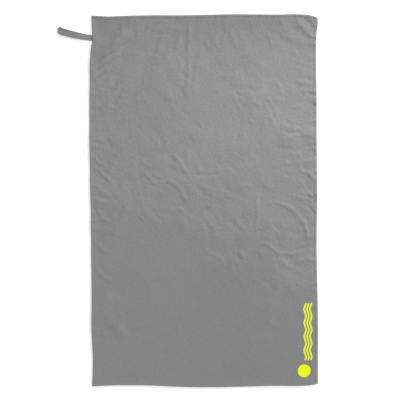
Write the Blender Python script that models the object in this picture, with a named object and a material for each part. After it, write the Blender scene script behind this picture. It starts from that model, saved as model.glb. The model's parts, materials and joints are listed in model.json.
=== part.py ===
"""A quick dry towel of brushed microfibre, laid flat, with its hanging loop.

Metres, +Z up, +Y towards the hem next to the loop. The floor is z = 0, and
the origin is under the middle of the whole object, loop included.

The real cloth is one piece. It is split here at its middle fold, so that each
half is rigid: the upper half turns over the lower one, and the loop turns
over the hem that holds it.
"""

import math

import bmesh
import bpy

# ---- Driving dimensions ---------------------------------------------------

towel_width = 0.800
towel_length = 1.300

cloth_thickness = 0.0010
hem_width = 0.0100
hem_layer = 0.0004  # cloth of the hem above and below the tape's ends
cloth_tuck = 0.0027  # how far the flat cloth reaches into each hem

stitch_from_hem_end = 0.0020  # from the hem's inner end to its row of stitches
thread_width = 0.0008
thread_height = 0.0004

tape_width = 0.0200
tape_thickness = 0.0007
tape_end_wall = 0.0015  # hem left between the tape's ends and the flat cloth
tape_stub = 0.0072  # stitched tape outside the hem, before the loop turns freely
tack_length = 0.0030  # bar tack, across the hem
tack_height = 0.0004

loop_from_top = 0.0800  # from the top edge to the middle of the tape
loop_reach = 0.1150  # how far the loop stands out from the towel's edge
loop_gap = 0.0060  # open height between the tape's two runs
loop_stalk = 0.0140  # the runs lie on each other this far out
loop_throat = 0.0400  # and are fully apart this far out
loop_rise = 0.0280  # how far the lying loop bends up the towel by its tip
loop_bow = 1.3  # 1 would be a straight slant, more bends it near the tip

print_height = 0.0003  # heat-pressed film
disc_radius = 0.0225
disc_from_bottom = 0.0520
disc_from_side = 0.0480
print_space = 0.0135  # between the disc and the ripples
wave_count = 3
wave_width = 0.0052
wave_pitch = 0.0100
wave_height = 0.0032  # from a ripple's middle line to its crest
wave_length = 0.0480
waves_run = 0.2020
waves_from_side = 0.0350

clearance = 0.0003  # between pieces that touch on the real towel
fold_clearance = 0.0005  # between layers when the towel is folded over
cut_overrun = 0.0020  # how far a cutter runs past a face

tip_steps = 12
disc_steps = 48
wave_steps = 72

# ---- Sizes that follow ----------------------------------------------------

tape_height = 2 * tape_thickness  # both runs of tape, one on the other
hem_thickness = 2 * (hem_layer + clearance) + max(cloth_thickness, tape_height)
middle_height = hem_thickness / 2
hem_mouth = cloth_tuck + clearance
cloth_bottom = middle_height - cloth_thickness / 2
cloth_top = middle_height + cloth_thickness / 2

thread_bottom = hem_thickness + clearance
stack_top = thread_bottom + max(thread_height, tack_height)
stitch_inset = hem_width - stitch_from_hem_end
tape_end_length = hem_width - hem_mouth - tape_end_wall - clearance
tack_inset = (tape_end_length - tack_length) / 2

loop_bottom = clearance
loop_top = loop_bottom + loop_gap + 2 * tape_thickness
loop_axis_z = (stack_top + fold_clearance + loop_top) / 2
folded_loop_top = 2 * loop_axis_z - loop_bottom
fold_axis_z = (stack_top + fold_clearance + folded_loop_top) / 2
fold_gap = clearance / 2  # each half stops this far from the fold

# The loop stands out at -X only, so the towel's middle lies at +X.
towel_x = loop_reach / 2
left_edge = towel_x - towel_width / 2
right_edge = towel_x + towel_width / 2
top_edge = towel_length / 2
bottom_edge = -towel_length / 2
loop_y = top_edge - loop_from_top
loop_start = tape_stub + clearance  # reach of the free loop's near end
loop_axis_x = left_edge - tape_stub - clearance / 2

# ---- Scene, collections, materials ----------------------------------------

for old in list(bpy.data.objects):
    bpy.data.objects.remove(old, do_unlink=True)

towel = bpy.data.collections.new("quick_dry_towel")
cutters = bpy.data.collections.new("cutters")
bpy.context.scene.collection.children.link(towel)
bpy.context.scene.collection.children.link(cutters)


def make_material(name, colour, roughness):
    material = bpy.data.materials.new(name)
    material.use_nodes = True
    shader = material.node_tree.nodes["Principled BSDF"]
    shader.inputs["Base Color"].default_value = (*colour, 1.0)
    shader.inputs["Roughness"].default_value = roughness
    shader.inputs["Metallic"].default_value = 0.0
    return material


microfibre = make_material("grey_microfibre", (0.26, 0.26, 0.26), 0.95)
turned_hem = make_material("grey_turned_hem", (0.24, 0.24, 0.24), 0.95)
sewing_thread = make_material("grey_sewing_thread", (0.20, 0.20, 0.20), 0.70)
woven_tape = make_material("grey_woven_tape", (0.19, 0.19, 0.19), 0.80)
lime_film = make_material("lime_heat_pressed_film", (0.80, 0.96, 0.01), 0.55)

# ---- Bodies: one empty on each joint's axis -------------------------------


def make_body(name, parent, place):
    """An empty that a rigid group hangs from. Its place is in world space."""
    empty = bpy.data.objects.new(name, None)
    towel.objects.link(empty)
    empty.parent = parent
    above = parent.matrix_world.translation if parent else (0.0, 0.0, 0.0)
    empty.location = [place[i] - above[i] for i in range(3)]
    bpy.context.view_layer.update()
    return empty


lower_half = make_body("lower_half", None, (0.0, 0.0, 0.0))
upper_half = make_body("upper_half", lower_half, (towel_x, 0.0, fold_axis_z))
loop = make_body("loop", upper_half, (loop_axis_x, loop_y, loop_axis_z))

# ---- Making a piece -------------------------------------------------------


def add_piece(name, data, middle, body, material):
    """An object for a mesh or curve that lies about its own middle."""
    piece = bpy.data.objects.new(name, data)
    towel.objects.link(piece)
    data.materials.append(material)
    piece.parent = body
    piece.location = [middle[i] - body.matrix_world.translation[i] for i in range(3)]
    return piece


def box_mesh(name, low, high):
    """A box about its own middle, and that middle, from two world corners."""
    build = bmesh.new()
    bmesh.ops.create_cube(build, size=1.0)
    size = [high[i] - low[i] for i in range(3)]
    bmesh.ops.scale(build, vec=size, verts=build.verts)
    mesh = bpy.data.meshes.new(name)
    build.to_mesh(mesh)
    build.free()
    return mesh, [(low[i] + high[i]) / 2 for i in range(3)]


def box(name, low, high, body, material):
    mesh, middle = box_mesh(name, low, high)
    return add_piece(name, mesh, middle, body, material)


def cut_box(piece, low, high):
    """Cuts a box-shaped slot or pocket out of a piece."""
    name = f"{piece.name}_cutter_{len(piece.modifiers) + 1}"
    mesh, middle = box_mesh(name, low, high)
    cutter = bpy.data.objects.new(name, mesh)
    cutters.objects.link(cutter)
    cutter.location = middle
    cutter.hide_render = True
    cutter.display_type = "WIRE"
    cut = piece.modifiers.new("slot", "BOOLEAN")
    cut.operation = "DIFFERENCE"
    cut.solver = "EXACT"
    cut.object = cutter


def flat_outline(name, outlines, height):
    """A filled 2D curve given a height. Each outline is a closed list of XY points."""
    curve = bpy.data.curves.new(name, "CURVE")
    curve.dimensions = "2D"
    curve.fill_mode = "BOTH"
    curve.extrude = height / 2
    for points in outlines:
        spline = curve.splines.new("POLY")
        spline.points.add(len(points) - 1)
        for point, (x, y) in zip(spline.points, points):
            point.co = (x, y, 0.0, 1.0)
        spline.use_cyclic_u = True
    return curve


# ---- Cloth: the two halves of the one flat sheet --------------------------

cloth_inset = hem_width - cloth_tuck
cloth_left = left_edge + cloth_inset
cloth_right = right_edge - cloth_inset

for half, body, start, stop in (
    ("lower", lower_half, bottom_edge + cloth_inset, -fold_gap),
    ("upper", upper_half, fold_gap, top_edge - cloth_inset),
):
    box(
        f"cloth_{half}_half",
        (cloth_left, start, cloth_bottom),
        (cloth_right, stop, cloth_top),
        body,
        microfibre,
    )

# ---- Hems: the edge turned over, with a mouth that the flat cloth enters --

mouth_low = cloth_bottom - clearance
mouth_high = cloth_top + clearance


def span(a, b):
    return min(a, b), max(a, b)


# The top and bottom hems run the towel's full width.
for end, body, outer, inward in (
    ("top", upper_half, top_edge, -1),
    ("bottom", lower_half, bottom_edge, 1),
):
    inner = outer + inward * hem_width
    low_y, high_y = span(outer, inner)
    hem = box(
        f"hem_{end}",
        (left_edge, low_y, 0.0),
        (right_edge, high_y, hem_thickness),
        body,
        turned_hem,
    )
    low_y, high_y = span(inner - inward * hem_mouth, inner + inward * cut_overrun)
    cut_box(
        hem,
        (cloth_left - clearance, low_y, mouth_low),
        (cloth_right + clearance, high_y, mouth_high),
    )

# The side hems run between them, in two lengths that meet at the fold.
side_hem_start = bottom_edge + hem_width + clearance
side_hem_stop = top_edge - hem_width - clearance
for side, outer, inward in (("left", left_edge, 1), ("right", right_edge, -1)):
    for half, body, start, stop in (
        ("lower", lower_half, side_hem_start, -fold_gap),
        ("upper", upper_half, fold_gap, side_hem_stop),
    ):
        inner = outer + inward * hem_width
        low_x, high_x = span(outer, inner)
        hem = box(
            f"hem_{side}_{half}",
            (low_x, start, 0.0),
            (high_x, stop, hem_thickness),
            body,
            turned_hem,
        )
        low_x, high_x = span(inner - inward * hem_mouth, inner + inward * cut_overrun)
        cut_box(
            hem,
            (low_x, start - cut_overrun, mouth_low),
            (high_x, stop + cut_overrun, mouth_high),
        )

# A pocket in the left hem's outer face holds the ends of the loop's tape.
cut_box(
    bpy.data.objects["hem_left_upper"],
    (
        left_edge - cut_overrun,
        loop_y - tape_width / 2 - clearance,
        middle_height - tape_height / 2 - clearance,
    ),
    (
        left_edge + tape_end_length + clearance,
        loop_y + tape_width / 2 + clearance,
        middle_height + tape_height / 2 + clearance,
    ),
)

# ---- Thread: a row of stitches along each hem -----------------------------


def stitches(name, low_xy, high_xy, body):
    box(
        name,
        (*low_xy, thread_bottom),
        (*high_xy, thread_bottom + thread_height),
        body,
        sewing_thread,
    )


half_thread = thread_width / 2
row_left = left_edge + stitch_inset
row_right = right_edge - stitch_inset
row_top = top_edge - stitch_inset
row_bottom = bottom_edge + stitch_inset

for end, body, row in (("top", upper_half, row_top), ("bottom", lower_half, row_bottom)):
    stitches(
        f"stitches_{end}",
        (row_left, row - half_thread),
        (row_right, row + half_thread),
        body,
    )

corner_gap = half_thread + clearance
for side, row in (("left", row_left), ("right", row_right)):
    for half, body, start, stop in (
        ("lower", lower_half, row_bottom + corner_gap, -fold_gap),
        ("upper", upper_half, fold_gap, row_top - corner_gap),
    ):
        stitches(
            f"stitches_{side}_{half}",
            (row - half_thread, start),
            (row + half_thread, stop),
            body,
        )

# ---- Loop: woven tape, doubled, its ends sewn inside the left hem ---------
# A short stub of it stands out stiffly, and the free loop bends at its end.

tape_low_y = loop_y - tape_width / 2
tape_high_y = loop_y + tape_width / 2
box(
    "loop_tape_ends",
    (left_edge - tape_stub, tape_low_y, middle_height - tape_height / 2),
    (left_edge + tape_end_length, tape_high_y, middle_height + tape_height / 2),
    upper_half,
    woven_tape,
)
box(
    "loop_bar_tack",
    (left_edge + tack_inset, tape_low_y, thread_bottom),
    (left_edge + tack_inset + tack_length, tape_high_y, thread_bottom + tack_height),
    upper_half,
    sewing_thread,
)


def loop_side(inset):
    """The loop from its edge on, as (reach, height): up one run, round the tip
    and back along the other, this far in from the tape's outside."""
    turn_radius = (loop_top - loop_bottom) / 2
    turn_reach = loop_reach - turn_radius
    turn_height = (loop_top + loop_bottom) / 2
    radius = turn_radius - inset
    points = [(loop_throat, turn_height + radius)]
    for step in range(tip_steps + 1):
        angle = math.pi / 2 - math.pi * step / tip_steps
        reach = turn_reach + radius * math.cos(angle)
        points.append((reach, turn_height + radius * math.sin(angle)))
    points.append((loop_throat, turn_height - radius))
    return points


stalk_low = middle_height - tape_height / 2
stalk_high = middle_height + tape_height / 2
outside = loop_side(0.0) + [
    (loop_stalk, stalk_low),
    (loop_start, stalk_low),
    (loop_start, stalk_high),
    (loop_stalk, stalk_high),
]
inside = loop_side(tape_thickness) + [(loop_stalk + tape_thickness, middle_height)]

loop_curve = flat_outline("loop_side", [outside, inside], tape_width)
flat_loop = bpy.data.objects.new("loop_side", loop_curve)
towel.objects.link(flat_loop)
loop_mesh = bpy.data.meshes.new_from_object(
    flat_loop.evaluated_get(bpy.context.evaluated_depsgraph_get())
)
bpy.data.objects.remove(flat_loop, do_unlink=True)

# The side outline is stood on the tape's lower edge and bent up the towel.
build = bmesh.new()
build.from_mesh(loop_mesh)
bmesh.ops.remove_doubles(build, verts=build.verts, dist=1e-5)
for vertex in build.verts:
    reach, height, across = vertex.co
    share = max(reach - loop_start, 0.0) / (loop_reach - loop_start)
    bend = loop_rise * share**loop_bow
    vertex.co = (left_edge - reach - loop_axis_x, across + bend, height - loop_axis_z)
build.to_mesh(loop_mesh)
build.free()
loop_mesh.materials.clear()
add_piece("hanging_loop", loop_mesh, (loop_axis_x, loop_y, loop_axis_z), loop, woven_tape)

# ---- Print: a plain disc below three ripples, pressed on near one corner --

print_middle = cloth_top + clearance + print_height / 2

disc = []
for step in range(disc_steps):
    angle = 2 * math.pi * step / disc_steps
    disc.append((disc_radius * math.cos(angle), disc_radius * math.sin(angle)))
add_piece(
    "print_disc",
    flat_outline("print_disc", [disc], print_height),
    (right_edge - disc_from_side, bottom_edge + disc_from_bottom, print_middle),
    lower_half,
    lime_film,
)

waves_start = bottom_edge + disc_from_bottom + disc_radius + print_space
for row in range(wave_count):
    left_side = []
    right_side = []
    for step in range(wave_steps + 1):
        along = waves_run * step / wave_steps
        sway = wave_height * math.sin(2 * math.pi * along / wave_length)
        left_side.append((sway - wave_width / 2, along))
        right_side.append((sway + wave_width / 2, along))
    name = f"print_wave_{row + 1}"
    row_x = right_edge - waves_from_side + (row - (wave_count - 1) / 2) * wave_pitch
    add_piece(
        name,
        flat_outline(name, [left_side + right_side[::-1]], print_height),
        (row_x, waves_start, print_middle),
        lower_half,
        lime_film,
    )
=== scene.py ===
import json
import math

import bmesh
import bpy
import numpy as np
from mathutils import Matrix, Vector


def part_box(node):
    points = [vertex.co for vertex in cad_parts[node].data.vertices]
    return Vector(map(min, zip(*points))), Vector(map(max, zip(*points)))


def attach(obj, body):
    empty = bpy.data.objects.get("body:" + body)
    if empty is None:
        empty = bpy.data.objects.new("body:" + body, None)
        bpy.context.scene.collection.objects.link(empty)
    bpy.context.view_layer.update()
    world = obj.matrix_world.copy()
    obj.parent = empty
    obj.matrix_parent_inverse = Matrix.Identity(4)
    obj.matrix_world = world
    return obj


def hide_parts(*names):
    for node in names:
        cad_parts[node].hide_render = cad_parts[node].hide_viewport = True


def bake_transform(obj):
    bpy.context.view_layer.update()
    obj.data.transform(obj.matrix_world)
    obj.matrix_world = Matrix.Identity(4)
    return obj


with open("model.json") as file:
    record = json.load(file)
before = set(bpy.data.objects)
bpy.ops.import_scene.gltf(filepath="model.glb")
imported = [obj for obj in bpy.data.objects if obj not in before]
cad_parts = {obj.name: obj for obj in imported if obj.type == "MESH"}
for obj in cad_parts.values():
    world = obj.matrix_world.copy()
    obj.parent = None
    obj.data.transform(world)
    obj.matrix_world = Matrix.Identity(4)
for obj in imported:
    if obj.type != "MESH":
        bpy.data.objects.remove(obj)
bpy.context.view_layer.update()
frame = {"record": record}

# ---- Where the towel lies --------------------------------------------------
# The towel lies face up on the floor, z = 0, with the hem that holds the loop
# on its left. Its edges, its fold and the heights of its layers are the CAD's.
hem_box = {side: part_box(node) for side, node in (
    ("top", "hem_top"),
    ("bottom", "hem_bottom"),
    ("left", "hem_left_upper"),
    ("right", "hem_right_upper"),
)}
left_edge = hem_box["left"][0][0]
right_edge = hem_box["right"][1][0]
top_edge = hem_box["top"][1][1]
bottom_edge = hem_box["bottom"][0][1]
towel_width = right_edge - left_edge
towel_length = top_edge - bottom_edge
half_width = towel_width / 2
half_length = towel_length / 2
middle_x = (left_edge + right_edge) / 2
hem_width = hem_box["left"][1][0] - left_edge
hem_middle = (hem_box["left"][0][2] + hem_box["left"][1][2]) / 2

# ---- Camera, floor and light -----------------------------------------------
# A long lens straight above the towel, a white table lit faintly from beneath
# so that shadows stay thin, even light from all round and one soft lamp.
scene = bpy.context.scene
scene.view_settings.view_transform = "Standard"

lens_mm = 85.0
sensor_mm = 36.0
seen_width = 1.4045  # of the floor, across the camera's view
camera_x = middle_x - 0.0146
camera_y = 0.0016
floor_reach = 40.0  # each way, so that its edge is never in view
floor_glow = 0.13
room_light = 0.80
lamp_width = 0.9
lamp_watts = 125.0
lamp_place = (middle_x + 2.30, top_edge + 1.58, 1.15)
lamp_target = (middle_x + 0.05, 0.10, 0.0)

camera = bpy.data.cameras.new("camera")
camera.lens = lens_mm
camera.sensor_width = sensor_mm
camera_object = bpy.data.objects.new("camera", camera)
camera_object.location = (camera_x, camera_y, seen_width * lens_mm / sensor_mm)
scene.collection.objects.link(camera_object)
scene.camera = camera_object


def linear(hex_colour):
    """An sRGB hex colour as the linear values that a shader takes."""
    parts = [int(hex_colour[i:i + 2], 16) / 255 for i in (1, 3, 5)]
    return tuple(c / 12.92 if c <= 0.04045 else ((c + 0.055) / 1.055) ** 2.4 for c in parts) + (1.0,)


def add_node(tree, kind, settings=(), values=(), links=()):
    """A node with its settings, socket values and incoming links."""
    node = tree.nodes.new(kind)
    for name, value in dict(settings).items():
        setattr(node, name, value)
    for name, value in dict(values).items():
        node.inputs[name].default_value = value
    for name, socket in dict(links).items():
        tree.links.new(socket, node.inputs[name])
    return node


def new_material(name):
    """A material and its tree, which is still empty."""
    material = bpy.data.materials.new(name)
    material.use_nodes = True
    material.node_tree.nodes.clear()
    return material, material.node_tree


def surface(tree, values, links=()):
    """The surface that a material ends in."""
    shader = add_node(tree, "ShaderNodeBsdfPrincipled", values=values, links=links)
    add_node(tree, "ShaderNodeOutputMaterial", links={"Surface": shader.outputs["BSDF"]})


# Opal acrylic sheet, sanded matt and lit from beneath: white all over, with no
# gleam, so that only a thin shadow sets the towel off.
opal_sheet, tree = new_material("matt_opal_acrylic")
surface(tree, {
    "Base Color": linear("#FCFCFC"),
    "Roughness": 0.9,
    "Specular IOR Level": 0.0,
    "Emission Color": linear("#FFFFFF"),
    "Emission Strength": floor_glow,
})
floor_mesh = bpy.data.meshes.new("floor")
build = bmesh.new()
bmesh.ops.create_grid(build, x_segments=1, y_segments=1, size=floor_reach)
build.to_mesh(floor_mesh)
build.free()
floor_mesh.materials.append(opal_sheet)
floor = bpy.data.objects.new("floor", floor_mesh)
scene.collection.objects.link(floor)

world = bpy.data.worlds.new("white_room")
scene.world = world
world.use_nodes = True
background = world.node_tree.nodes["Background"]
background.inputs["Color"].default_value = (1.0, 1.0, 1.0, 1.0)
background.inputs["Strength"].default_value = room_light

lamp = bpy.data.lights.new("soft_lamp", "AREA")
lamp.shape = "DISK"
lamp.size = lamp_width
lamp.energy = lamp_watts
lamp_object = bpy.data.objects.new("soft_lamp", lamp)
lamp_object.location = lamp_place
away = Vector(lamp_place) - Vector(lamp_target)
lamp_object.rotation_euler = away.to_track_quat("Z", "Y").to_euler()
scene.collection.objects.link(lamp_object)

# ---- The cloth's lie --------------------------------------------------------
# One rectangle of thin brushed microfibre. Its hems were sewn a little tight,
# so the edges waver and pucker, and it keeps soft creases from being packed.
cloth_thickness = 0.0010
floor_gap = 0.0003
cloth_middle = floor_gap + cloth_thickness / 2
edge_reach = 0.30  # an edge that strays draws the cloth along this far in

# How far each edge strays outwards from straight, as (place along it, offset).
left_line = [(-0.65, -0.0070), (-0.56, -0.0095), (-0.45, -0.0045), (-0.35, -0.0050), (-0.14, -0.0030),
             (-0.03, -0.0020), (0.07, 0.0005), (0.39, 0.0020), (0.49, 0.0005), (0.53, -0.0025),
             (0.57, -0.0080), (0.60, -0.0060), (0.65, -0.0045)]
right_line = [(-0.65, -0.0010), (-0.35, -0.0015), (-0.24, -0.0040), (-0.14, -0.0050), (0.05, -0.0030),
              (0.18, -0.0045), (0.39, -0.0055), (0.49, -0.0065), (0.60, -0.0045), (0.63, -0.0010),
              (0.65, -0.0020)]
top_line = [(-0.40, -0.0010), (-0.34, -0.0045), (-0.29, -0.0025), (-0.19, 0.0000), (-0.08, 0.0000),
            (0.13, 0.0035), (0.20, 0.0030), (0.25, 0.0025), (0.33, 0.0035), (0.37, 0.0010), (0.40, -0.0080)]
bottom_line = [(-0.40, 0.0015), (-0.29, -0.0020), (-0.19, -0.0010), (-0.08, 0.0040), (0.02, 0.0050),
               (0.13, 0.0030), (0.25, 0.0000), (0.34, 0.0000), (0.37, -0.0015), (0.40, -0.0070)]


def smooth_step(t):
    """0 where t is below 0, 1 where it is above 1, and a smooth rise between."""
    t = np.clip(t, 0.0, 1.0)
    return t * t * (3 - 2 * t)


def along_line(line, place):
    """The smooth curve through a list of (place, offset) points."""
    places, offsets = np.array(line).T
    slopes = np.gradient(offsets, places)
    i = np.clip(np.searchsorted(places, place) - 1, 0, len(places) - 2)
    gap = places[i + 1] - places[i]
    t = np.clip((place - places[i]) / gap, 0.0, 1.0)
    leaving = (2 * t**3 - 3 * t**2 + 1) * offsets[i] + (t**3 - 2 * t**2 + t) * gap * slopes[i]
    return leaving + (3 * t**2 - 2 * t**3) * offsets[i + 1] + (t**3 - t**2) * gap * slopes[i + 1]


def random_curve(seed, spacing, count):
    """Random heights at even steps, which smooth_random joins."""
    return np.random.default_rng(seed).uniform(-1.0, 1.0, count), spacing


def smooth_random(curve, place):
    """A smooth random curve between -1 and 1, one bend to each step."""
    heights, spacing = curve
    x = place / spacing
    i = np.floor(x).astype(int)
    a, b = heights[i % len(heights)], heights[(i + 1) % len(heights)]
    return a + (b - a) * smooth_step(x - i)


def blotches(u, v, size, turn, seed):
    """Smooth random heights between -1 and 1 all over the cloth, size apart."""
    across = 61  # heights each way, before they come round again
    heights = np.random.default_rng(seed).uniform(-1.0, 1.0, (across, across))
    x = (u * math.cos(turn) + v * math.sin(turn)) / size
    y = (v * math.cos(turn) - u * math.sin(turn)) / size
    i, j = np.floor(x).astype(int), np.floor(y).astype(int)
    s, t = smooth_step(x - i), smooth_step(y - j)
    i, j, next_i, next_j = i % across, j % across, (i + 1) % across, (j + 1) % across
    near = heights[i, j] * (1 - t) + heights[i, next_j] * t
    far = heights[next_i, j] * (1 - t) + heights[next_i, next_j] * t
    return near * (1 - s) + far * s


def liveliness(u, v):
    """How creased the cloth is: 1 over most of it, near 0 low down, where it was
    smoothed out by hand. The border between drops in two steps to the right."""
    border = -0.13 - 0.17 * smooth_step((u + 0.12) / 0.26) - 0.16 * smooth_step((u - 0.26) / 0.10)
    border = border + 0.05 * blotches(u, v, 0.09, 0.4, 3) + 0.02 * blotches(u, v, 0.03, 0.9, 4)
    border_width = 0.10
    return smooth_step((v - border) / border_width + 0.5)


# Each hem's puckers: how deep along it, as (place, depth), how far they reach in
# and how far apart they are.
pucker_depth = {
    "left": [(-0.65, 0.0004), (-0.30, 0.0008), (-0.10, 0.0012), (0.02, 0.0018), (0.10, 0.0022),
             (0.20, 0.0016), (0.40, 0.0008), (0.57, 0.0016), (0.65, 0.0006)],
    "right": [(-0.65, 0.0003), (-0.35, 0.0008), (-0.20, 0.0016), (0.02, 0.0024), (0.20, 0.0026),
              (0.35, 0.0024), (0.48, 0.0014), (0.60, 0.0018), (0.65, 0.0016)],
    "top": [(-0.40, 0.0005), (-0.20, 0.0008), (0.00, 0.0008), (0.20, 0.0008), (0.32, 0.0016), (0.40, 0.0016)],
    "bottom": [(-0.40, 0.0003), (-0.10, 0.0007), (0.10, 0.0004), (0.40, 0.0004)],
}
pucker_reach = {"left": 0.034, "right": 0.050, "top": 0.024, "bottom": 0.016}
pucker_spacing = {"left": 0.0135, "right": 0.0150, "top": 0.0130, "bottom": 0.0150}
reach_varies = 0.7
slant_most = 0.45
hollow_share = 0.35  # of a ridge's height, for the hollow between two
broad_share = 0.6  # of a ridge's height, for the broader ones
broad_start = 0.025
broad_reach = 1.9  # times as far as the ridges
# Four random curves for each hem: its ridges, how far they reach, how they slant,
# and its broader ridges.
pucker_curves = {}
for number, side in enumerate(pucker_depth):
    pucker_curves[side] = (
        random_curve(20 + number, pucker_spacing[side], 211),
        random_curve(40 + number, 0.031, 97),
        random_curve(60 + number, 0.045, 89),
        random_curve(80 + number, 0.029, 91),
    )
curve_start = -2.0  # well off the cloth, for every random curve


def puckers(side, along, inward):
    """The height that a tight hem gathers the cloth to: ridges that run straight
    in from the edge and fade, some long, some short, a few slanted, over broader
    ones that start further in and go on for longer."""
    ridges, reaches, slants, broad_ridges = pucker_curves[side]
    depth = along_line(pucker_depth[side], along)
    place = along - curve_start
    reach = pucker_reach[side] * (1.0 + reach_varies * smooth_random(reaches, place))
    place = place + slant_most * smooth_random(slants, place) * inward
    ridge = smooth_random(ridges, place)
    ridge = np.where(ridge > 0, ridge, hollow_share * ridge) * np.exp(-inward / reach)
    broad = smooth_random(broad_ridges, place) * smooth_step(inward / broad_start + 0.2)
    return depth * (ridge + broad_share * broad * np.exp(-inward / (broad_reach * reach)))


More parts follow.
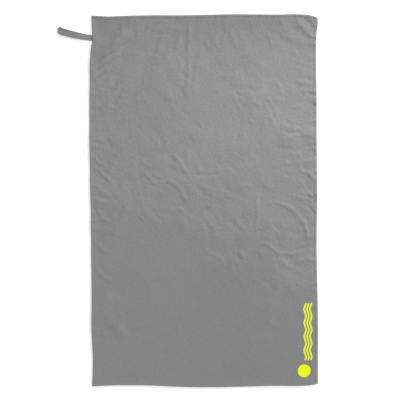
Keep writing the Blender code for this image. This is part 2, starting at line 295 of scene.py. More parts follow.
# Creases left in the cloth: two ends, half width, height and a bow to one side.
# A height below 0 is a groove.
creases = [
    # the long fold down from the top edge
    ((-0.056, 0.625), (-0.058, 0.430), 0.0070, 0.0015, 0.004),
    ((-0.060, 0.470), (-0.054, 0.300), 0.0090, 0.0011, -0.003),
    # ripples drawn from the upper left corner
    ((-0.330, 0.560), (-0.240, 0.640), 0.0120, 0.0014, 0.008),
    ((-0.370, 0.480), (-0.270, 0.590), 0.0140, 0.0014, 0.010),
    ((-0.390, 0.420), (-0.330, 0.520), 0.0110, 0.0011, 0.006),
    ((-0.250, 0.560), (-0.130, 0.625), 0.0150, 0.0013, 0.010),
    ((-0.210, 0.510), (-0.150, 0.560), 0.0100, -0.0010, 0.004),
    ((-0.290, 0.470), (-0.250, 0.520), 0.0090, -0.0008, 0.004),
    ((-0.170, 0.560), (-0.070, 0.610), 0.0120, 0.0011, 0.006),
    ((-0.320, 0.390), (-0.300, 0.450), 0.0100, -0.0011, 0.002),
    ((-0.315, 0.330), (-0.300, 0.365), 0.0100, -0.0011, 0.002),
    ((-0.345, 0.290), (-0.320, 0.350), 0.0120, 0.0010, 0.004),
    ((-0.360, 0.400), (-0.300, 0.500), 0.0100, -0.0012, 0.006),
    ((-0.300, 0.500), (-0.220, 0.585), 0.0110, -0.0011, 0.006),
    ((-0.220, 0.585), (-0.120, 0.640), 0.0110, -0.0011, 0.006),
    ((-0.140, 0.500), (-0.080, 0.560), 0.0100, 0.0010, 0.004),
    ((-0.020, 0.600), (-0.015, 0.500), 0.0090, 0.0008, 0.002),
    ((0.060, 0.610), (0.050, 0.540), 0.0100, -0.0008, 0.002),
    # across the upper right
    ((0.080, 0.385), (0.260, 0.390), 0.0100, -0.0010, 0.004),
    ((0.098, 0.372), (0.123, 0.315), 0.0055, 0.0013, 0.004),
    ((0.212, 0.358), (0.256, 0.272), 0.0055, -0.0012, 0.004),
    ((0.130, 0.300), (0.120, 0.240), 0.0080, -0.0008, 0.002),
    ((0.226, 0.408), (0.276, 0.386), 0.0060, -0.0013, 0.002),
    ((0.240, 0.572), (0.345, 0.522), 0.0130, -0.0013, 0.003),
    # gathered at the upper right corner
    ((0.322, 0.645), (0.395, 0.576), 0.0110, 0.0023, -0.013),
    ((0.350, 0.640), (0.394, 0.606), 0.0080, -0.0014, -0.004),
    ((0.300, 0.640), (0.318, 0.600), 0.0080, 0.0010, 0.002),
    ((0.260, 0.630), (0.285, 0.610), 0.0080, 0.0010, 0.002),
    # short creases near the middle
    ((-0.114, 0.164), (-0.058, 0.092), 0.0075, 0.0018, 0.004),
    ((-0.130, 0.076), (-0.060, -0.006), 0.0075, 0.0016, 0.008),
    ((-0.060, 0.088), (0.060, 0.086), 0.0070, -0.0011, 0.003),
    ((-0.243, 0.072), (-0.125, 0.074), 0.0070, -0.0011, 0.002),
    ((-0.095, -0.028), (-0.040, -0.066), 0.0065, 0.0013, 0.003),
    ((-0.200, -0.035), (-0.110, -0.050), 0.0080, -0.0008, 0.003),
    ((0.010, -0.010), (0.060, -0.070), 0.0080, 0.0011, 0.004),
    ((0.080, -0.072), (0.134, -0.118), 0.0065, -0.0012, 0.003),
    ((0.100, -0.062), (0.150, -0.112), 0.0065, 0.0009, 0.003),
    ((0.000, -0.060), (0.020, -0.140), 0.0090, -0.0009, 0.004),
    ((0.100, -0.130), (0.050, -0.200), 0.0080, 0.0009, 0.004),
    ((0.000, -0.170), (0.080, -0.230), 0.0080, 0.0008, 0.004),
    # drawn in from the left edge
    ((-0.392, 0.120), (-0.322, 0.058), 0.0065, 0.0022, 0.004),
    ((-0.392, 0.152), (-0.358, 0.116), 0.0065, 0.0014, 0.004),
    ((-0.392, 0.200), (-0.345, 0.196), 0.0055, -0.0016, 0.002),
    ((-0.338, 0.215), (-0.328, 0.175), 0.0055, -0.0014, 0.004),
    ((-0.398, 0.010), (-0.300, 0.002), 0.0090, -0.0013, 0.003),
    ((-0.396, 0.060), (-0.345, 0.020), 0.0070, 0.0012, 0.003),
    ((-0.395, -0.240), (-0.330, -0.290), 0.0090, 0.0011, 0.004),
    ((-0.390, -0.150), (-0.340, -0.190), 0.0090, 0.0009, 0.004),
    # the square fold and the arcs on the right
    ((0.188, 0.034), (0.184, -0.140), 0.0065, 0.0012, 0.000),
    ((0.186, 0.029), (0.325, -0.002), 0.0060, -0.0016, 0.012),
    ((0.215, -0.010), (0.330, -0.030), 0.0080, 0.0010, 0.008),
    ((0.262, -0.012), (0.366, -0.140), 0.0080, 0.0022, 0.032),
    ((0.335, 0.022), (0.393, 0.008), 0.0055, -0.0019, -0.003),
    ((0.350, -0.012), (0.392, -0.048), 0.0060, -0.0019, 0.003),
    ((0.205, -0.142), (0.282, -0.192), 0.0070, 0.0018, -0.003),
    ((0.268, -0.187), (0.390, -0.174), 0.0070, 0.0018, -0.003),
    ((0.280, -0.205), (0.312, -0.212), 0.0065, -0.0012, 0.002),
    ((0.205, -0.284), (0.252, -0.318), 0.0070, -0.0012, 0.003),
    ((0.220, -0.085), (0.300, -0.090), 0.0100, 0.0008, 0.004),
    ((0.260, -0.215), (0.350, -0.262), 0.0090, 0.0010, 0.005),
    ((0.250, -0.290), (0.300, -0.270), 0.0120, 0.0010, 0.004),
    ((0.255, 0.180), (0.390, 0.190), 0.0080, -0.0018, -0.006),
    ((0.282, 0.242), (0.345, 0.228), 0.0080, -0.0014, 0.003),
    ((0.284, 0.281), (0.350, 0.256), 0.0060, -0.0014, -0.004),
    ((0.290, 0.326), (0.360, 0.299), 0.0065, -0.0012, 0.003),
    ((0.328, 0.348), (0.392, 0.342), 0.0065, -0.0020, -0.002),
    ((0.310, 0.470), (0.395, 0.455), 0.0080, -0.0012, 0.003),
    ((0.350, 0.130), (0.360, 0.050), 0.0090, -0.0010, 0.006),
    ((0.320, 0.230), (0.396, 0.225), 0.0070, 0.0016, 0.002),
    ((0.330, 0.170), (0.396, 0.172), 0.0070, -0.0016, 0.002),
    ((0.300, 0.420), (0.396, 0.400), 0.0080, 0.0013, 0.003),
    ((0.345, 0.375), (0.396, 0.370), 0.0060, -0.0013, 0.002),
    ((0.340, 0.105), (0.395, 0.075), 0.0070, 0.0014, 0.003),
    ((0.360, 0.050), (0.396, 0.010), 0.0060, -0.0015, 0.003),
    ((0.320, -0.215), (0.396, -0.205), 0.0070, 0.0012, 0.002),
    ((0.310, 0.520), (0.390, 0.500), 0.0090, 0.0012, 0.003),
    # soft dents in the lower corners
    ((-0.350, -0.330), (-0.295, -0.480), 0.0200, 0.0012, -0.020),
    ((-0.300, -0.440), (-0.285, -0.500), 0.0120, 0.0011, 0.004),
    ((0.235, -0.345), (0.250, -0.450), 0.0140, 0.0010, -0.014),
    ((0.160, -0.500), (0.235, -0.485), 0.0100, 0.0008, 0.004),
]


def small_creases(count):
    """Short soft creases strewn over the lively part: across near the right hem, up
    to the right by the upper left corner, down from the top, and elsewhere down to
    the right."""
    random = np.random.default_rng(11)
    for _ in range(count):
        u, v = random.uniform(-0.385, 0.385), random.uniform(-0.32, 0.64)
        if u > 0.28:
            turn = random.normal(math.pi, 0.3)
        elif u < -0.31 and v < 0.25:
            turn = random.normal(-0.6, 0.35)
        elif u < -0.24 or (v > 0.47 and u < -0.10):
            turn = random.normal(0.8, 0.3)
        elif v > 0.47:
            turn = random.normal(1.5, 0.5)
        else:
            turn = random.normal(-0.95, 0.5)
        reach = random.uniform(0.012, 0.034)
        half = random.uniform(0.0055, 0.0090)
        height = random.choice([-1.0, 1.0]) * random.uniform(0.0003, 0.0011)
        step_u, step_v = reach * math.cos(turn), reach * math.sin(turn)
        lively = float(liveliness(np.array(u), np.array(v)))
        yield (u - step_u, v - step_v), (u + step_u, v + step_v), half, height * lively, 0.15 * reach


creases += small_creases(230)


def soft_lines(lines, u, v):
    """The height of soft ridges and grooves along slightly bowed, wavering lines."""
    total = np.zeros(np.shape(u))
    for (u0, v0), (u1, v1), half, height, bow in lines:
        spread = 4 * half + abs(bow)
        near = (u > min(u0, u1) - spread) & (u < max(u0, u1) + spread)
        near &= (v > min(v0, v1) - spread) & (v < max(v0, v1) + spread)
        if not near.any():
            continue
        # Along the line in shares of its length, and to the side of its bow.
        length = math.hypot(u1 - u0, v1 - v0)
        onward_u, onward_v = (u1 - u0) / length, (v1 - v0) / length
        along = ((u[near] - u0) * onward_u + (v[near] - v0) * onward_v) / length
        side = -(u[near] - u0) * onward_v + (v[near] - v0) * onward_u
        side = side - bow * 4 * along * (1 - along)
        side += half * (0.35 * np.sin(along * 8.0 + 40 * u0) + 0.20 * np.sin(along * 19.0 + 90 * v0))
        fade = smooth_step(along / 0.25 + 0.3) * smooth_step((1 - along) / 0.25 + 0.3)
        # A narrow ridge less a broad one leaves a shallow trough on each side.
        narrow = np.exp(-((side / half) ** 2))
        broad = np.exp(-((side / (2.2 * half)) ** 2))
        total[near] += height * fade * (1.35 * narrow - 0.45 * broad)
    return total


# The broad waves that several lengths of swell make together, as (length, height).
swell_sizes = [(0.42, 0.0006), (0.26, 0.0005), (0.15, 0.0006), (0.085, 0.0004), (0.048, 0.00015)]
waves_each = 7
waves_add_to = 2.6  # what seven waves out of step add up to
swell_waves = []
swell_random = np.random.default_rng(7)
for length, height in swell_sizes:
    for _ in range(waves_each):
        turn = swell_random.uniform(0, math.pi)
        start = swell_random.uniform(0, 2 * math.pi)
        stretch = swell_random.uniform(0.8, 1.25)
        swell_waves.append((length * stretch, height / waves_add_to, turn, start))


def swell(u, v):
    """The cloth's broad, shallow waves: many soft ones of several lengths."""
    total = np.zeros(np.shape(u))
    for length, height, turn, start in swell_waves:
        onward = u * math.cos(turn) + v * math.sin(turn)
        total += height * np.sin(2 * math.pi / length * onward + start)
    return total


# Each net of fine ridges: the size of its mesh, its height, its turn and its seed.
# A net's ridges run where its blotches change sign, and are a little round on top.
crumple_nets = [(0.048, 0.00055, 0.5, 5), (0.030, 0.00035, 1.2, 6), (0.019, 0.00020, 0.2, 8)]
ridge_roundness = 0.01
crumple_start = 0.03  # from the cloth's edge


def crumple(u, v):
    """The fine crumple of cloth that was packed small: soft ridges in a net."""
    total = np.zeros(np.shape(u))
    for size, height, turn, seed in crumple_nets:
        total -= height * np.sqrt(blotches(u, v, size, turn, seed) ** 2 + ridge_roundness)
    return total


def lie(u, v):
    """Where the cloth's middle layer lies for a place on the flat cloth, given
    from the towel's own middle. Returns world x, y and z."""
    from_left, from_right = u + half_width, half_width - u
    from_top, from_bottom = half_length - v, v + half_length
    x = middle_x + u
    x = x - along_line(left_line, v) * (1 - smooth_step(from_left / edge_reach))
    x = x + along_line(right_line, v) * (1 - smooth_step(from_right / edge_reach))
    y = v + along_line(top_line, u) * (1 - smooth_step(from_top / edge_reach))
    y = y - along_line(bottom_line, u) * (1 - smooth_step(from_bottom / edge_reach))

    edge = np.minimum(np.minimum(from_left, from_right), np.minimum(from_top, from_bottom))
    lively = liveliness(u, v)
    relief = soft_lines(creases, u, v)
    relief += puckers("left", v, np.maximum(from_left, 0.0))
    relief += puckers("right", v, np.maximum(from_right, 0.0))
    relief += puckers("top", u, np.maximum(from_top, 0.0))
    relief += puckers("bottom", u, np.maximum(from_bottom, 0.0))
    # The smoothed part keeps a quarter of the swell and a fifth of the crumple.
    relief += swell(u, v) * (0.25 + 0.75 * lively)
    relief += crumple(u, v) * (0.20 + 0.80 * lively) * smooth_step(edge / crumple_start)
    # What would sink below the floor is pressed flat on it.
    sinking, softness = 0.0014, 0.0004
    relief = softness * np.logaddexp(0.0, (relief + sinking) / softness)
    # From each hem's mouth the cloth comes down to the floor.
    mouth, slope = hem_width * 0.6, 0.028
    lift = (hem_middle - cloth_middle) * (1 - smooth_step((edge - mouth) / slope))
    return x, y, cloth_middle + lift + relief


# ---- Towel cloth ------------------------------------------------------------
# Split polyester and polyamide microfibre, knitted and brushed to a suede nap:
# dead matt, with cloudy patches where the nap lies another way, and painted light and shade in bands and
# streaks.
tuck_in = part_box("cloth_upper_half")[0][0] - left_edge  # to the cloth's own edge, in the hem
joints = {joint["name"]: joint for joint in frame["record"]["behaviour"]["joints"]}
fold_axis = joints["fold_in_half"]["pos_m"]
fold_radius = fold_axis[2] - hem_middle
fold_half = math.pi * fold_radius / 2  # half the cloth that bends round the fold
edge_band = 0.060
edge_step = 0.0033
middle_step = 0.0047
fold_span = (-fold_half * 1.3, fold_half * 1.3, 0.0016)
calm_span = (-half_length + edge_band, -0.32, 0.0080)


def grid_places(low, high, spans=()):
    """Places from low to high, closer together by the ends. A span has its own step."""
    places = [low]
    while places[-1] < high - 1e-9:
        place = places[-1]
        step = edge_step if min(place - low, high - place) < edge_band else middle_step
        for start, stop, span_step in spans:
            if start - step < place < stop:
                step = span_step
        places.append(min(place + step, high))
    # A last step that is much too short joins the one before it.
    if places[-1] - places[-2] < 0.4 * edge_step:
        places.pop(-2)
    return np.array(places)


def sheet_mesh(name, points_top, points_bottom):
    """A closed thin sheet from two grids of points, one above the other."""
    rows, columns = points_top.shape[:2]
    count = rows * columns
    points = np.concatenate([points_top.reshape(-1, 3), points_bottom.reshape(-1, 3)])
    index = np.arange(count).reshape(rows, columns)
    a, b = index[:-1, :-1].ravel(), index[:-1, 1:].ravel()
    c, d = index[1:, 1:].ravel(), index[1:, :-1].ravel()
    top = np.stack([a, b, c, d], axis=1)
    bottom = top[:, ::-1] + count
    rim = np.concatenate([index[0, :], index[1:, -1], index[-1, -2::-1], index[-2:0:-1, 0]])
    after = np.roll(rim, -1)
    sides = np.stack([rim, rim + count, after + count, after], axis=1)
    faces = np.concatenate([top, bottom, sides])
    mesh = bpy.data.meshes.new(name)
    mesh.from_pydata(points.tolist(), [], faces.tolist())
    mesh.shade_smooth()
    return mesh


def grid_normals(points):
    """Unit normals of a grid of points, facing up."""
    along_rows = np.gradient(points, axis=0)
    along_columns = np.gradient(points, axis=1)
    normal = np.cross(along_columns, along_rows)
    return normal / np.linalg.norm(normal, axis=2, keepdims=True)


# Streaks of painted shade and painted light, standing in for the shading of creases,
# written as the creases are, with the change in shade for the height.
painted_crease_light = [
    ((-0.352, 0.500), (-0.250, 0.568), 0.0080, -0.070, 0.006),
    ((-0.378, 0.450), (-0.292, 0.510), 0.0080, -0.065, 0.006),
    ((-0.390, 0.408), (-0.340, 0.462), 0.0070, -0.060, 0.003),
    ((-0.326, 0.388), (-0.288, 0.427), 0.0100, -0.080, 0.000),
    ((-0.316, 0.338), (-0.292, 0.374), 0.0100, -0.070, 0.000),
    ((-0.230, 0.585), (-0.130, 0.640), 0.0080, -0.050, 0.003),
    ((-0.360, 0.480), (-0.280, 0.545), 0.0070, 0.045, 0.006),
    ((-0.384, 0.430), (-0.330, 0.480), 0.0070, 0.045, 0.004),
    ((-0.062, 0.630), (-0.062, 0.380), 0.0055, -0.060, 0.002),
    ((-0.375, -0.285), (-0.290, -0.370), 0.0160, 0.030, 0.010),
    ((-0.290, -0.370), (-0.300, -0.480), 0.0140, 0.030, 0.008),
    ((0.262, -0.290), (0.250, -0.400), 0.0140, 0.030, 0.000),
    ((0.250, -0.400), (0.205, -0.480), 0.0120, 0.025, 0.004),
]


def painted_light_and_patches(u, v):
    """Painted light and shade on the cloth, near 1. Each line below is a share of painted
    shade or painted light, and how it fades out."""
    ragged = 0.012 * blotches(u, v, 0.030, 0.7, 31) + 0.008 * blotches(u, v, 0.012, 0.3, 32)
    # Painted shade: a dark band along the top and one down the upper part of the left edge.
    top = (0.125 + 0.03 * smooth_step(u / 0.25)) * (1 - smooth_step((half_length - v + ragged) / 0.180))
    left = 0.015 + 0.090 * smooth_step((v - 0.43) / 0.08)
    left = left * (1 - smooth_step((u + 0.345 + ragged) / 0.070))
    # Painted light: a light strip down the right edge, and a light patch above the middle.
    right = (0.07 + 0.03 * smooth_step(-v / 0.10)) * smooth_step((u - 0.372) / 0.020)
    middle = smooth_step((v - 0.04) / 0.14) * (1 - smooth_step((v - 0.36) / 0.12))
    middle = 0.040 * smooth_step((u + 0.20) / 0.25) * middle
    # Painted shade, dark and even below a ragged border that drops towards the right.
    border = -0.045 - 0.080 * smooth_step((u + 0.10) / 0.16) - 0.170 * smooth_step((u - 0.20) / 0.08)
    painted_low_shade = smooth_step((border + 2 * ragged - v) / 0.060 + 0.5)
    low = 0.005 + 0.030 * smooth_step((u + 0.36) / 0.12) + 0.045 * smooth_step((u + 0.20) / 0.35)
    patches = 0.014 * blotches(u, v, 0.110, 0.2, 33) + 0.012 * blotches(u, v, 0.045, 1.0, 34)
    shade = 1.0 - np.maximum(left, top) + right + middle - low * painted_low_shade
    # Random patches of tone, fainter in the painted low shade, and streaks of painted crease light and shade.
    return shade + patches * (1 - 0.8 * painted_low_shade) + soft_lines(painted_crease_light, u, v)


def set_shade(mesh, name, values):
    """One number for each vertex of a mesh, which its material can read."""
    mesh.attributes.new(name, "FLOAT", "POINT").data.foreach_set("value", values.astype(np.float32).ravel())


def add_piece(name, shape, material):
    """The object that shows a mesh or a curve in one material."""
    shape.materials.append(material)
    piece = bpy.data.objects.new(name, shape)
    scene.collection.objects.link(piece)
    return piece


def mottled(tree, size_mm, detail, low, high, stretch=(1.0, 1.0, 1.0)):
    """A number between low and high in soft blots about size_mm across, which stay
    with the cloth."""
    place = add_node(tree, "ShaderNodeTexCoord").outputs["Object"]
    place = add_node(tree, "ShaderNodeMapping", values={"Scale": stretch}, links={"Vector": place})
    blots = add_node(
        tree,
        "ShaderNodeTexNoise",
        values={"Scale": 1000.0 / size_mm, "Detail": detail, "Roughness": 0.6},
        links={"Vector": place.outputs["Vector"]},
    )
    ranged = add_node(
        tree,
        "ShaderNodeMapRange",
        values={"To Min": low, "To Max": high},
        links={"Value": blots.outputs["Fac"]},
    )
    return ranged.outputs["Result"]


def fibrous_surface(tree, colour, shades, raised, depth_mm, strength, finish):
    """The surface of cloth, thread, tape or film: a colour that each of the shades
    makes lighter or darker, and a skin raised by up to depth_mm."""
    shade = shades[0]
    for other in shades[1:]:
        product = add_node(tree, "ShaderNodeMath", {"operation": "MULTIPLY"}, links={0: shade, 1: other})
        shade = product.outputs["Value"]
    dyed = add_node(
        tree,
        "ShaderNodeMix",
        {"data_type": "RGBA", "blend_type": "MULTIPLY"},
        {"Factor": 1.0, "A": linear(colour)},
        {"B": shade},
    )
    skin = add_node(
        tree,
        "ShaderNodeBump",
        values={"Strength": strength, "Distance": depth_mm / 1000},
        links={"Height": raised},
    )
    surface(tree, finish, {"Base Color": dyed.outputs["Result"], "Normal": skin.outputs["Normal"]})


def suede_material(name, colour):
    """Brushed microfibre suede: dead matt, a faint bloom at a low angle, its pile mottled
    at 11 mm and speckled by tufts of fibre at 3.5 mm, under the painted light and shade of its mesh."""
    material, tree = new_material(name)
    # The cloth's painted light and shade, with random patches, read from its mesh.
    painted_light_with_patches = add_node(tree, "ShaderNodeAttribute", {"attribute_name": "painted_light_with_patches"}).outputs["Fac"]
    mottle = mottled(tree, 11.0, 3.0, 0.91, 1.09)
    tufts = mottled(tree, 3.5, 2.0, 0.94, 1.06)
    # Soft crinkles at 10 mm, deeper where the cloth is lively.
    crinkle = mottled(tree, 10.0, 2.0, 0.0, 1.0)
    lively = add_node(tree, "ShaderNodeAttribute", {"attribute_name": "lively"}).outputs["Fac"]
    deeper = add_node(
        tree, "ShaderNodeMapRange", values={"To Min": 0.45, "To Max": 1.25}, links={"Value": lively}
    )
    # The knit is 0.6 mm in the hand and is drawn at 1.8 mm, so that it can show.
    knit = mottled(tree, 1.8, 1.0, 0.0, 0.22)
    raised = add_node(
        tree,
        "ShaderNodeMath",
        {"operation": "MULTIPLY_ADD"},
        links={0: crinkle, 1: deeper.outputs["Result"], 2: knit},
    )
    finish = {"Roughness": 0.92, "Specular IOR Level": 0.2, "Sheen Weight": 0.12, "Sheen Roughness": 0.5}
    fibrous_surface(tree, colour, [painted_light_with_patches, mottle, tufts], raised.outputs["Value"], 0.9, 1.0, finish)
    return material


suede = suede_material("brushed_microfibre_suede", "#828282")

across = grid_places(-half_width + tuck_in, half_width - tuck_in)
along = grid_places(-half_length + tuck_in, half_length - tuck_in, [fold_span, calm_span])
u, v = np.meshgrid(across, along)
middle = np.stack(lie(u, v), axis=2)
skin = grid_normals(middle) * cloth_thickness / 2
cloth_mesh = sheet_mesh("towel_cloth", middle + skin, middle - skin)
# Painted light and shade, with random patches, on both faces of the cloth.
set_shade(cloth_mesh, "painted_light_with_patches", np.tile(painted_light_and_patches(u, v).ravel(), 2))
set_shade(cloth_mesh, "lively", np.tile(liveliness(u, v).ravel(), 2))
towel_cloth = add_piece("towel_cloth", cloth_mesh, suede)


def fold_with_cloth(piece):
    """Bake the piece's place into its mesh."""
    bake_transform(piece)


fold_with_cloth(towel_cloth)
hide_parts("cloth_lower_half", "cloth_upper_half")

# ---- Hems -------------------------------------------------------------------
# Each edge of the cloth is turned over twice and stitched down: three layers,
# pressed flat, with a round outer edge and a groove where the thread draws in.
hem_half_thickness = 0.00125
hem_end_round = 0.0016
hem_overlap = 0.0008  # of a side hem's end on the hem across it
groove_depth = 0.00045
groove_half = 0.0011
groove_between_holes = 0.35  # of its depth, in the middle of a stitch
stitch_inset = hem_width - 0.0020
stitch_length = 0.0032
row_gap = 0.0016  # between the end of a side row and the row across it
stitch_reach = {
    "top": half_width - stitch_inset,
    "bottom": half_width - stitch_inset,
    "left": half_length - stitch_inset - row_gap,
    "right": half_length - stitch_inset - row_gap,
}
stitch_pitch = {side: 2 * reach / round(2 * reach / stitch_length) for side, reach in stitch_reach.items()}

# The tape ends lie between the left hem's layers, and raise them.
tape_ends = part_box("loop_tape_ends")
tape_width = tape_ends[1][1] - tape_ends[0][1]
tape_thickness = (tape_ends[1][2] - tape_ends[0][2]) / 2
loop_y = (tape_ends[0][1] + tape_ends[1][1]) / 2
tape_bulge = 0.0004
bulge_slope = 0.003

# The hem's section: inward from the outer edge and up from its middle, in
# shares of the hem's width and of half its thickness.
hem_section = [(0.00, 0.00), (0.015, 0.42), (0.06, 0.76), (0.15, 0.96), (0.32, 1.00), (0.55, 0.94),
               (0.70, 0.86), (0.80, 0.70), (0.90, 0.84), (0.975, 0.70), (1.00, 0.30),
               (1.00, -0.30), (0.975, -0.70), (0.90, -0.86), (0.80, -0.70), (0.68, -0.88),
               (0.45, -0.96), (0.22, -0.96), (0.08, -0.80), (0.02, -0.44)]


def hem_place(side, place, inward):
    """The place on the flat cloth, from how far along a hem and how far in it is."""
    if side == "left":
        return -half_width + inward, place
    if side == "right":
        return half_width - inward, place
    if side == "top":
        return place, half_length - inward
    return place, -half_length + inward


def edge_point(side, place, inward, up):
    """World points near one edge, from how far along and in they are, and how far
    over the hem's middle."""
    x, y, z = lie(*hem_place(side, place, inward))
    return np.stack([x, y, z + up], axis=-1)


def face_outwards(mesh):
    """Turn every face of a closed mesh outwards, and shade it smooth."""
    build = bmesh.new()
    build.from_mesh(mesh)
    bmesh.ops.recalc_face_normals(build, faces=build.faces)
    build.to_mesh(mesh)
    build.free()
    mesh.shade_smooth()


def wall_faces(index):
    """The faces between neighbouring rings, from the numbers of their points."""
    a, b = index[..., :-1, :], np.roll(index[..., :-1, :], -1, axis=-1)
    c, d = np.roll(index[..., 1:, :], -1, axis=-1), index[..., 1:, :]
    return np.stack([a, b, c, d], axis=-1).reshape(-1, 4).tolist()


def tube_mesh(name, rings):
    """A closed tube from rings of points, both ends capped, its faces turned out."""
    index = np.arange(rings[..., 0].size).reshape(rings.shape[:2])
    faces = wall_faces(index) + [index[0, ::-1].tolist(), index[-1].tolist()]
    mesh = bpy.data.meshes.new(name)
    mesh.from_pydata(rings.reshape(-1, 3).tolist(), [], faces)
    face_outwards(mesh)
    return mesh


def stitch_beat(side, place):
    """1 in the holes between two stitches, 0 in the middle of each stitch."""
    return 0.5 + 0.5 * np.cos(2 * math.pi * (place + stitch_reach[side]) / stitch_pitch[side])


def tape_swelling(side, place):
    """How far the hidden tape ends raise the left hem."""
    share = smooth_step((tape_width / 2 + bulge_slope / 2 - np.abs(place - loop_y)) / bulge_slope)
    return tape_bulge * share * (side == "left")


# The cloth's own suede, turned over and pressed by the sewing. Its colour is a touch lighter, and its mesh
# carries the same painted light and shade as the cloth.
hem_suede = suede_material("turned_microfibre_hem", "#848484")


def rounded_end(from_end, radius, least):
    """How thick or wide a piece is near its end, as a share, where it ends round."""
    return np.sqrt(np.clip(1 - (1 - np.minimum(from_end / radius, 1.0)) ** 2, least, 1.0))


def hem_mesh(name, side, reach):
    """One hem, three rows of points to a stitch, from its section."""
    steps = round(2 * reach / (stitch_pitch[side] / 3))
    section_in, section_up = np.array(hem_section).T
    places = np.linspace(-reach, reach, steps + 1)
    place, inward = np.meshgrid(places, section_in * hem_width, indexing="ij")
    share = np.broadcast_to(section_up, place.shape)
    up = share * hem_half_thickness + np.maximum(share, 0.0) * tape_swelling(side, place)
    # The thread draws the layers in along its row, and most at each hole.
    groove = groove_depth * np.exp(-(((inward - stitch_inset) / groove_half) ** 2))
    pull = groove_between_holes + (1 - groove_between_holes) * stitch_beat(side, place)
    up -= np.sign(share) * groove * pull
    up *= rounded_end(reach - np.abs(place), hem_end_round, 0.04)
    mesh = tube_mesh(name, edge_point(side, place, inward, up))
    # The painted light and shade, with random patches, of the cloth where the hem lies.
    set_shade(mesh, "painted_light_with_patches", painted_light_and_patches(*hem_place(side, place, inward)))
    set_shade(mesh, "lively", liveliness(*hem_place(side, place, inward)))
    return mesh


side_hem_reach = half_length - hem_width + hem_overlap
hems = {}
for side, reach, nodes in (
    ("top", half_width, ["hem_top"]),
    ("bottom", half_width, ["hem_bottom"]),
    ("left", side_hem_reach, ["hem_left_lower", "hem_left_upper"]),
    ("right", side_hem_reach, ["hem_right_lower", "hem_right_upper"]),
):
    hems[side] = add_piece(f"{side}_hem", hem_mesh(f"{side}_hem", side, reach), hem_suede)
    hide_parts(*nodes)
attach(hems["top"], "upper_half")
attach(hems["bottom"], "lower_half")
fold_with_cloth(hems["left"])
fold_with_cloth(hems["right"])

# ---- Hem stitches -----------------------------------------------------------
# One row of lockstitches down each hem in spun polyester thread: short, slightly
# sunk stitches on the face, and the bobbin thread's in the same holes beneath.
thread_radius = 0.00032
thread_sides = 6
thread_twist_mm = 0.748
stitch_share = 0.86  # of the pitch; the rest is the hole
# The thread's middle over the hem's: it lies in the groove, partly sunk.
stitch_seat = 0.70 * hem_half_thickness - groove_between_holes * groove_depth + 0.35 * thread_radius
# Along a stitch: the place in shares of its half length, then how fat it is and
# how far it stands up, in shares of the thread's radius.
stitch_rings = [(-1.0, 0.30, -1.5), (-0.75, 0.85, -0.4), (-0.25, 1.0, 0.0),
                (0.25, 1.0, 0.0), (0.75, 0.85, -0.4), (1.0, 0.30, -1.5)]

# Spun polyester sewing thread: matt with a faint gleam, its twist in fine light
# and dark bands. The wave makes 20 / 2 pi bands to a metre at a scale of 1.
spun_thread, tree = new_material("spun_polyester_thread")
place = add_node(tree, "ShaderNodeTexCoord").outputs["Object"]
twist = add_node(
    tree,
    "ShaderNodeTexWave",
    values={"Scale": 1000.0 * 2 * math.pi / 20 / thread_twist_mm, "Distortion": 1.0},
    links={"Vector": place},
).outputs["Fac"]
bands = add_node(
    tree, "ShaderNodeMapRange", values={"To Min": 0.85, "To Max": 1.12}, links={"Value": twist}
).outputs["Result"]
thread_finish = {"Roughness": 0.62, "Specular IOR Level": 0.35}
fibrous_surface(tree, "#828282", [bands], twist, 0.1, 0.4, thread_finish)


def stitch_row_mesh(name, side):
    """Separate stitches on both faces of one hem."""
    reach, pitch = stitch_reach[side], stitch_pitch[side]
    count = round(2 * reach / pitch)
    centres = -reach + (np.arange(count) + 0.5) * pitch
    turn = np.arange(thread_sides) * 2 * math.pi / thread_sides
    points, faces = [], []
    for face_up in (1, -1):
        rings = []
        for along_share, fat, stands_up in stitch_rings:
            centre = (centres + along_share * stitch_share * pitch / 2)[:, None]
            radius = thread_radius * fat
            seat = face_up * (stitch_seat + stands_up * thread_radius)
            seat = seat + (face_up > 0) * tape_swelling(side, centre)
            ring = np.broadcast_arrays(
                centre, stitch_inset + radius * np.cos(turn), seat + radius * np.sin(turn)
            )
            rings.append(edge_point(side, *ring))
        rings = np.stack(rings, axis=1)
        count_here = rings[..., 0].size
        index = np.arange(count_here).reshape(rings.shape[:3]) + len(points) * count_here
        faces += wall_faces(index) + index[:, 0, ::-1].tolist() + index[:, -1].tolist()
        points.append(rings.reshape(-1, 3))
    mesh = bpy.data.meshes.new(name)
    mesh.from_pydata(np.concatenate(points).tolist(), [], faces)
    face_outwards(mesh)
    return mesh


stitches = {}
for side, nodes in (
    ("top", ["stitches_top"]),
    ("bottom", ["stitches_bottom"]),
    ("left", ["stitches_left_lower", "stitches_left_upper"]),
    ("right", ["stitches_right_lower", "stitches_right_upper"]),
):
    name = f"{side}_hem_stitches"
    stitches[side] = add_piece(name, stitch_row_mesh(name, side), spun_thread)
    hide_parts(*nodes)
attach(stitches["top"], "upper_half")
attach(stitches["bottom"], "lower_half")
fold_with_cloth(stitches["left"])
fold_with_cloth(stitches["right"])

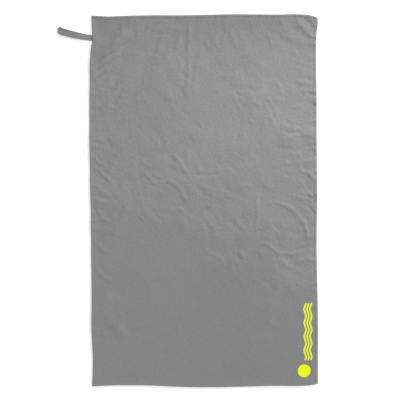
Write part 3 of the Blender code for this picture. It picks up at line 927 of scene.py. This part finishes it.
# ---- Hanging loop -----------------------------------------------------------
# A length of ribbed woven tape, doubled, with its ends sewn inside the left hem.
# It lies almost shut, its upper run fanned down a little off the lower.
loop_root = float(edge_point("left", np.array(loop_y), np.array(0.0), 0.0)[0])
loop_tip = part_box("hanging_loop")[0][0] + 0.0008
tape_start = loop_root + 0.0060  # hidden in the hem
loop_rise = 0.0300  # the tape bends up the towel by this at its tip
loop_bow = 1.35  # the power of that bend
fan = 0.0062  # how far the upper run has strayed down by the tip
crown = 0.0009  # how far the upper run arches up
shut = tape_thickness / 2 + 0.00008  # half the distance between the runs where they lie shut
tip_radius = 0.0016
tip_points = 16
corner_radius = 0.0042
rib_pitch = 0.0012  # the tape's ribs are 0.8 mm, and are drawn a little coarser
rib_depth = 0.00009
turn_x = loop_tip + tip_radius + tape_thickness / 2
tip_z = floor_gap + tape_thickness / 2 + tip_radius


def tape_share(x):
    """0 where the tape leaves the hem, 1 at its tip."""
    return np.clip((loop_root - x) / (loop_root - turn_x), 0.0, 1.0)


def tape_runs():
    """Points down the middle of the doubled tape: x, how far it has strayed down
    the towel, and z."""
    x = np.arange(tape_start, turn_x, -rib_pitch / 4)
    share = tape_share(x)
    # Over its first half the tape comes down to the floor.
    middle_z = hem_middle + (tip_z - hem_middle) * smooth_step(share / 0.5)
    apart = shut + (tip_radius - shut) * smooth_step(share / 0.95)
    strayed = fan * smooth_step(share / 1.05)
    arched = crown * np.sin(math.pi * share) ** 2
    upper = np.stack([x, strayed, middle_z + apart + arched], axis=1)
    lower = np.stack([x, np.zeros_like(x), middle_z - apart], axis=1)[::-1]
    angle = np.linspace(0.0, math.pi, tip_points)[1:-1]
    turned = np.stack([
        turn_x - tip_radius * np.sin(angle),
        fan * smooth_step(1 / 1.05) * (1 - angle / math.pi),
        tip_z + tip_radius * np.cos(angle),
    ], axis=1)
    return np.concatenate([upper, turned, lower])


path = tape_runs()
run = np.concatenate([[0.0], np.cumsum(np.linalg.norm(np.diff(path, axis=0), axis=1))])
tangent = np.gradient(path[:, [0, 2]], axis=0)
tangent /= np.linalg.norm(tangent, axis=1, keepdims=True)
share = tape_share(path[:, 0])
rise = loop_rise * share**loop_bow
lean = np.arctan(loop_rise * loop_bow * share ** (loop_bow - 1) / (loop_root - turn_x))
# The turn at the tip leans less than the runs behind it.
lean *= 1 - 0.8 * smooth_step((share - 0.78) / 0.22)

# The section of the tape, across and through it: slightly crowned, with a bead
# along each selvedge.
tape_face = [(0.985, 0.55), (0.94, 0.98), (0.88, 0.80), (0.70, 0.84), (0.45, 0.93), (0.20, 0.99)]
tape_section = [(-1.0, 0.0)] + [(-w, t) for w, t in tape_face] + [(0.0, 1.0)]
tape_section += [(w, t) for w, t in reversed(tape_face)] + [(1.0, 0.0)]
tape_section += [(w, -t) for w, t in reversed(tape_section[1:-1])]
width_share, thick_share = np.array(tape_section).T
from_middle = np.abs(width_share)
selvedge_starts = 0.9
rib = rib_depth * np.cos(2 * math.pi * run / rib_pitch)[:, None]
through = thick_share * tape_thickness / 2 + rib * np.sign(thick_share) * (from_middle < selvedge_starts)
sideways = np.broadcast_to(width_share * tape_width / 2, through.shape)
# The tip's corners are rounded, as a soft tape's are where it turns.
corner = np.clip((from_middle - 0.45) / 0.55, 0.0, 1.0)
pulled_in = corner_radius * (1 - np.sqrt(1 - corner**2 * 0.999))
pulled_in = pulled_in * smooth_step((share - 0.87) / 0.13)[:, None]
rings = np.stack([
    path[:, 0, None] + tangent[:, 1, None] * through + np.sin(lean)[:, None] * sideways + pulled_in,
    loop_y + (rise - path[:, 1])[:, None] + np.cos(lean)[:, None] * sideways,
    path[:, 2, None] - tangent[:, 0, None] * through,
], axis=2)

# Woven polyester tape: a little shinier and harder than the cloth, darker towards its
# selvedges, and the weave between its ribs drawn at 1.1 mm.
ribbed_tape, tree = new_material("ribbed_woven_tape")
selvedge = add_node(tree, "ShaderNodeAttribute", {"attribute_name": "selvedge"}).outputs["Fac"]
uneven = mottled(tree, 5.0, 2.0, 0.90, 1.10)
weave = mottled(tree, 1.1, 1.0, 0.0, 1.0, (0.6, 1.6, 1.0))
threads = add_node(
    tree, "ShaderNodeMapRange", values={"To Min": 0.86, "To Max": 1.14}, links={"Value": weave}
).outputs["Result"]
tape_finish = {"Roughness": 0.75, "Specular IOR Level": 0.3, "Sheen Weight": 0.1}
fibrous_surface(tree, "#7B7B7B", [selvedge, uneven, threads], weave, 0.2, 0.6, tape_finish)

tape_mesh = tube_mesh("loop_tape", rings)
# Darker towards each selvedge.
selvedge_shade = 1.0 - 0.13 * smooth_step((from_middle - 0.55) / 0.30)
set_shade(tape_mesh, "selvedge", np.broadcast_to(selvedge_shade, through.shape))
loop_tape = add_piece("loop_tape", tape_mesh, ribbed_tape)
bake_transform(loop_tape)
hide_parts("hanging_loop", "loop_tape_ends")

# ---- Bar tack ---------------------------------------------------------------
# A dense zigzag of the hems' thread through the hem and the tape ends inside it.
# It takes the towel's weight when the towel hangs.
tack_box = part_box("loop_bar_tack")
tack_half_width = (tack_box[1][0] - tack_box[0][0]) / 2
tack_inset = (tack_box[0][0] + tack_box[1][0]) / 2 - left_edge
tack_length = tack_box[1][1] - tack_box[0][1]
tack_pitch = 0.0008
tack_thread = 0.00026
tack_dip = 0.0003  # into the hem, at each end of a swing
swing_steps = 8
tack_turns = round(tack_length / tack_pitch)
step = np.arange(tack_turns * swing_steps + 1)
swing = np.sin(2 * math.pi * step / swing_steps)
tack_place = loop_y + (step / step[-1] - 0.5) * tack_length
tack_seat = hem_half_thickness + tape_bulge + 0.4 * tack_thread - tack_dip * np.abs(swing) ** 6
tack_points = edge_point("left", tack_place, tack_inset + tack_half_width * swing, tack_seat)
tack_curve = bpy.data.curves.new("bar_tack", "CURVE")
tack_curve.dimensions = "3D"
tack_curve.bevel_depth = tack_thread
tack_curve.bevel_resolution = 1
tack_curve.use_fill_caps = True
spline = tack_curve.splines.new("POLY")
spline.points.add(len(tack_points) - 1)
for point, place in zip(spline.points, tack_points):
    point.co = (*place, 1.0)
bar_tack = add_piece("bar_tack", tack_curve, spun_thread)
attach(bar_tack, "upper_half")
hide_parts("loop_bar_tack")

# ---- Print ------------------------------------------------------------------
# A plain disc below three ripples in fluorescent film, cut out and pressed on
# hot near the lower right corner, so that it follows the cloth beneath.
film_lift = 0.00014
film_rim_angle = math.radians(50)

# Fluorescent polyurethane film: smooth, satin and very bright, a little uneven
# from the press, with the knit beneath showing through it at 1.8 mm.
lime_film, tree = new_material("fluorescent_pressed_film")
uneven = mottled(tree, 6.0, 3.0, 0.95, 1.03)
knit = mottled(tree, 1.8, 1.0, 0.0, 1.0)
film_finish = {"Roughness": 0.6, "Specular IOR Level": 0.12}
fibrous_surface(tree, "#E2F005", [uneven], knit, 0.2, 0.35, film_finish)


def film_patch(name, node, u, v):
    """A patch of film fused onto the cloth, from a grid of places on it."""
    middle = np.stack(lie(u, v), axis=2)
    top = middle + np.array([0.0, 0.0, cloth_thickness / 2 + film_lift])
    bottom = middle + np.array([0.0, 0.0, cloth_thickness / 2 - film_lift])
    mesh = sheet_mesh(name, top, bottom)
    face_outwards(mesh)
    mesh.set_sharp_from_angle(angle=film_rim_angle)
    patch = add_piece(name, mesh, lime_film)
    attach(patch, "lower_half")
    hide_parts(node)


disc_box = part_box("print_disc")
disc_u = (disc_box[0][0] + disc_box[1][0]) / 2 - middle_x
disc_v = (disc_box[0][1] + disc_box[1][1]) / 2
disc_radius = (disc_box[1][0] - disc_box[0][0]) / 2
disc_points = 25
# A square grid pressed round.
line = np.linspace(-1.0, 1.0, disc_points)
a, b = np.meshgrid(line, line)
film_patch(
    "print_disc_film",
    "print_disc",
    disc_u + disc_radius * a * np.sqrt(1 - b**2 / 2),
    disc_v + disc_radius * b * np.sqrt(1 - a**2 / 2),
)

ripple_width = 0.0056
ripple_half = ripple_width / 2
ripple_length = 0.0480
ripple_points = 101
ripple_strands = 5
round_end_points = 7
round_end = ripple_half * (1 - np.cos(np.linspace(0.0, math.pi / 2, round_end_points)))
for row in (1, 2, 3):
    ripple_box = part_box(f"print_wave_{row}")
    ripple_u = (ripple_box[0][0] + ripple_box[1][0]) / 2 - middle_x
    sway = (ripple_box[1][0] - ripple_box[0][0] - ripple_width) / 2
    ripple_reach = ripple_box[1][1] - ripple_box[0][1]
    between_ends = np.linspace(ripple_half, ripple_reach - ripple_half, ripple_points)[1:-1]
    ripple_run = np.concatenate([round_end, between_ends, ripple_reach - round_end[::-1]])
    band, up = np.meshgrid(np.linspace(-ripple_half, ripple_half, ripple_strands), ripple_run)
    width = rounded_end(np.minimum(up, ripple_reach - up), ripple_half, 0.002)
    film_patch(
        f"print_ripple_{row}_film",
        f"print_wave_{row}",
        ripple_u + sway * np.sin(2 * math.pi * up / ripple_length) + band * width,
        ripple_box[0][1] + up,
    )
